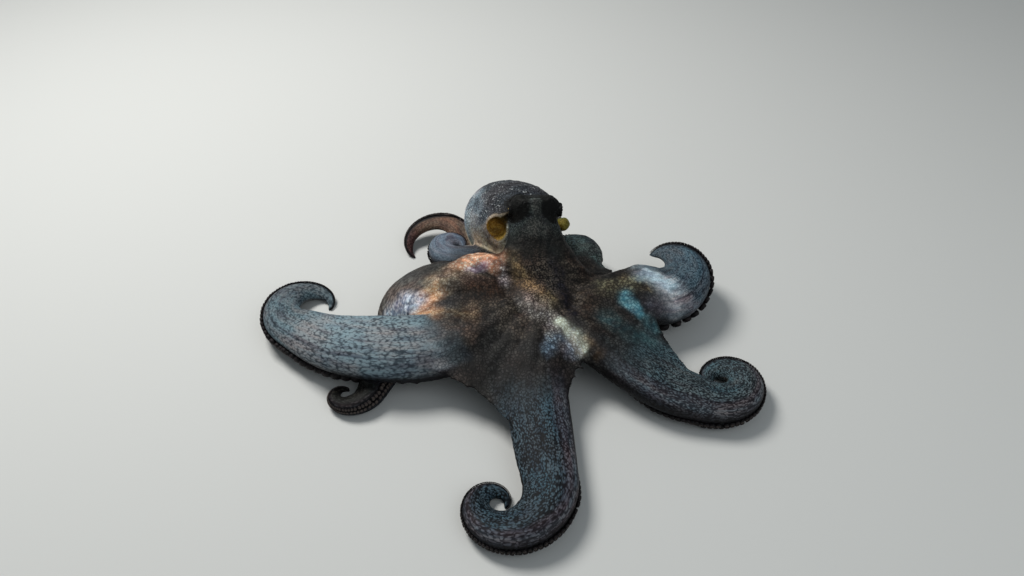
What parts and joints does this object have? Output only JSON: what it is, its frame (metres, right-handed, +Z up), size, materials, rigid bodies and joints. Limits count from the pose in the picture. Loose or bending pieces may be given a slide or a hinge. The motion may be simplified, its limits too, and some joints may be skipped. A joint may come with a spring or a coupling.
{
  "type": "octopus",
  "caption": "Life-size common octopus crawling on a flat bed, arms spread and curled at the ends, web between them, raised head and egg-shaped mantle.",
  "frame": {"origin": "centre of the bounding box's base, on the bed the octopus rests on", "axes": "+Z up; +X towards the animal's left, the longest extent; the animal faces -Y"},
  "size_m": [0.5062, 0.4404, 0.1222],
  "materials": {
    "skin": "moist mottled octopus skin, grey-blue on the arms and brown on the crown",
    "eye": "moist gold eye with a dark slit pupil"
  },
  "bodies": {
    "root": {"eye_right": "eye", "eye_left": "eye", "head": "skin", "mantle": "skin", "funnel": "skin", "crown": "skin", "arm_right1_base": "skin", "arm_right1_middle": "skin", "arm_right1_end": "skin", "arm_right2_base": "skin", "arm_right2_middle": "skin", "arm_right2_end": "skin", "arm_right3_base": "skin", "arm_right3_middle": "skin", "arm_right3_end": "skin", "arm_right4_base": "skin", "arm_right4_middle": "skin", "arm_right4_end": "skin", "arm_left4_base": "skin", "arm_left4_middle": "skin", "arm_left4_end": "skin", "arm_left3_base": "skin", "arm_left3_middle": "skin", "arm_left3_end": "skin", "arm_left2_base": "skin", "arm_left2_middle": "skin", "arm_left2_end": "skin", "arm_left1_base": "skin", "arm_left1_middle": "skin", "arm_left1_end": "skin", "web_right1_right2": "skin", "web_right2_right3": "skin", "web_right3_right4": "skin", "web_right4_left4": "skin", "web_left4_left3": "skin", "web_left3_left2": "skin", "web_left2_left1": "skin", "web_left1_right1": "skin"}
  },
  "joints": []
}
